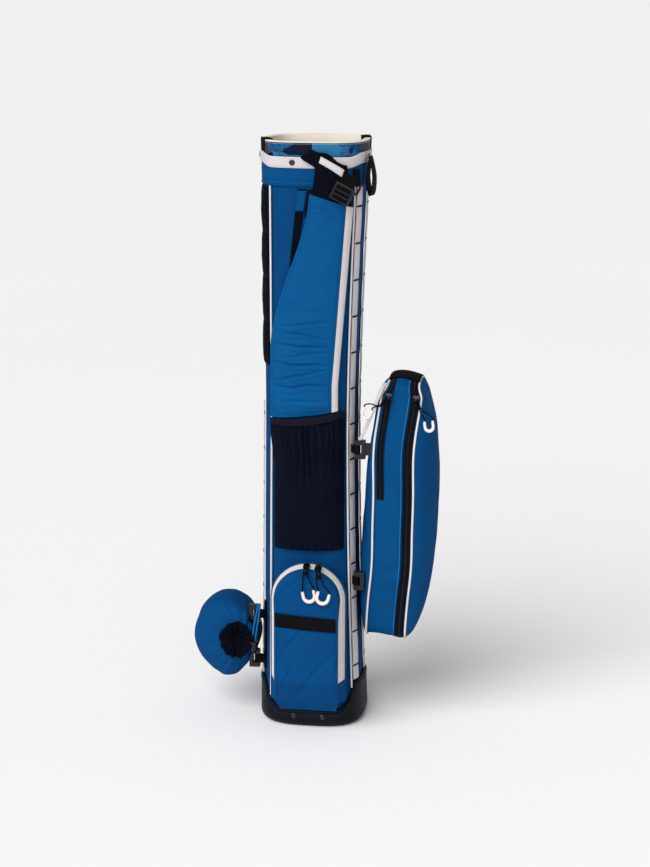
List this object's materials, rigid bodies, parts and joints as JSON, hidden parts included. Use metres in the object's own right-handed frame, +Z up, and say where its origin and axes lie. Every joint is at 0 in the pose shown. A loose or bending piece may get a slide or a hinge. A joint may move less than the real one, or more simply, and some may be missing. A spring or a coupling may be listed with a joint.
{
  "type": "golf carry bag",
  "caption": "Slim carry golf bag with padded shoulder strap, zipped and mesh front pockets, detachable side pocket and drawstring ball pouch.",
  "frame": {"origin": "middle of the base's underside, where the bag stands on the floor", "axes": "+Z up along the bag, -Y towards the front with the strap and the pockets, +X towards the detachable side pocket"},
  "size_m": [0.3805, 0.2015, 0.8917],
  "materials": {
    "black_plastic": "moulded, black",
    "black_webbing": "woven webbing, black",
    "blue_cloth": "woven ripstop polyester, mid blue",
    "blue_cord": "braided cord, light blue",
    "boot_plastic": "moulded, navy, fine texture",
    "dark_metal": "dark painted steel",
    "lining_cloth": "smooth lining cloth, cream",
    "mesh_cloth": "open knitted mesh, navy",
    "navy_cloth": "woven polyester, navy",
    "print_cloth": "printed cloth, blue with dark blotches",
    "stay_metal": "drawn tube",
    "teeth_plastic": "coil zip, off-white",
    "white_plastic": "moulded, off-white",
    "white_trim": "woven tape, off-white"
  },
  "bodies": {
    "bag": {"base_boot": "boot_plastic", "base_collar": "black_plastic", "base_screws": "dark_metal", "front_panel": "blue_cloth", "right_panel": "blue_cloth", "back_panel": "blue_cloth", "left_panel": "blue_cloth", "seam_piping": "white_trim", "stays": "stay_metal", "cuff_ring": "black_plastic", "cuff_cover": "print_cloth", "cuff_lining": "lining_cloth", "cuff_skirt": "blue_cloth", "cuff_trim": "white_trim", "cuff_rivets": "dark_metal", "rim_tabs": "black_webbing", "cuff_loops": "black_webbing", "divider_bar": "black_plastic", "divider_sleeve": "lining_cloth", "divider_sheet": "blue_cloth", "side_rails": "white_trim", "rail_tacks": "black_webbing", "clip_loops": "black_webbing", "hip_pad": "navy_cloth", "strap_tail": "navy_cloth", "strap_tail_sleeve": "blue_cloth", "mesh_pocket": "mesh_cloth", "mesh_elastic": "black_webbing", "pocket_rear_gusset": "blue_cloth", "pocket_zip_gusset": "white_trim", "pocket_zip_teeth": "teeth_plastic", "pocket_front": "blue_cloth", "pocket_webbing": "black_webbing"},
    "strap": {"strap_pad": "blue_cloth", "strap_edge": "white_trim", "strap_neck": "navy_cloth", "strap_neck_band": "white_trim", "strap_buckle": "black_plastic", "strap_webbing": "black_webbing"},
    "ring": {"strap_ring": "dark_metal"},
    "pocket_slider_a": {"pocket_slider_left": "dark_metal"},
    "pocket_pull_a": {"pocket_pull_left": "white_plastic"},
    "pocket_slider_b": {"pocket_slider_right": "dark_metal"},
    "pocket_pull_b": {"pocket_pull_right": "white_plastic"},
    "side_pocket": {"side_gusset_band": "blue_cloth", "side_outer_panel": "blue_cloth", "side_inner_panel": "blue_cloth", "side_piping": "white_trim", "side_zips": "navy_cloth", "side_top_binding": "navy_cloth", "side_clips": "black_plastic"},
    "side_slider_a": {"side_slider_short": "dark_metal"},
    "side_pull_a": {"side_pull_short": "white_plastic"},
    "side_slider_b": {"side_slider_long": "dark_metal"},
    "side_pull_b": {"side_pull_long": "white_plastic"},
    "pouch": {"pouch": "blue_cloth", "pouch_collar": "navy_cloth", "pouch_cord": "blue_cord", "pouch_clips": "black_plastic"},
    "lock_button": {"pouch_lock_button": "black_plastic"}
  },
  "joints": [
    {"name": "strap_swing", "type": "hinge", "parent": "bag", "child": "strap", "pos_m": [0.026, -0.0804, 0.867], "axis": [-1, 0, 0], "range_deg": [0, 60]},
    {"name": "strap_ring_swing", "type": "hinge", "parent": "bag", "child": "ring", "pos_m": [0.066, -0.0595, 0.83], "axis": [-0.7431, -0.6691, 0], "range_deg": [0, 60]},
    {"name": "pocket_slider_left_travel", "type": "hinge", "parent": "bag", "child": "pocket_slider_a", "pos_m": [0.001, -0.093, 0.208], "axis": [0, -1, 0], "range_deg": [0, 78]},
    {"name": "pocket_pull_left_swing", "type": "hinge", "parent": "pocket_slider_a", "child": "pocket_pull_a", "pos_m": [-0.00005, -0.093, 0.26834], "axis": [0, 1, 0], "range_deg": [-8, 86]},
    {"name": "pocket_slider_right_travel", "type": "hinge", "parent": "bag", "child": "pocket_slider_b", "pos_m": [0.001, -0.093, 0.208], "axis": [0, 1, 0], "range_deg": [0, 62]},
    {"name": "pocket_pull_right_swing", "type": "hinge", "parent": "pocket_slider_b", "child": "pocket_pull_b", "pos_m": [0.01864, -0.093, 0.26571], "axis": [0, -1, 0], "range_deg": [-8, 70]},
    {"name": "side_pocket_swing", "type": "hinge", "parent": "bag", "child": "side_pocket", "pos_m": [0.07, -0.052, 0.345], "axis": [0, 0, -1], "range_deg": [0, 50]},
    {"name": "side_slider_short_travel", "type": "hinge", "parent": "side_pocket", "child": "side_slider_a", "pos_m": [0.10575, 1.008, 0.3449], "axis": [0.9983, 0, -0.0576], "range_deg": [0, 7.9]},
    {"name": "side_pull_short_swing", "type": "hinge", "parent": "side_slider_a", "child": "side_pull_a", "pos_m": [0.11573, -0.05726, 0.51811], "axis": [-0.9983, 0, 0.0576], "range_deg": [0, 110]},
    {"name": "side_slider_long_travel", "type": "hinge", "parent": "side_pocket", "child": "side_slider_b", "pos_m": [0.14618, 1.008, 0.34257], "axis": [0.9983, 0, -0.0576], "range_deg": [0, 18.4]},
    {"name": "side_pull_long_swing", "type": "hinge", "parent": "side_slider_b", "child": "side_pull_b", "pos_m": [0.15617, -0.05726, 0.51577], "axis": [-0.9983, 0, 0.0576], "range_deg": [0, 110]},
    {"name": "pouch_swing", "type": "hinge", "parent": "bag", "child": "pouch", "pos_m": [-0.084, -0.04, 0.132], "axis": [0, 0, 1], "range_deg": [0, 32]},
    {"name": "pouch_lock_press", "type": "slide", "parent": "pouch", "child": "lock_button", "axis": [0, 0, 1], "range_m": [0, 0.003], "stiffness_N_per_m": 200}
  ]
}
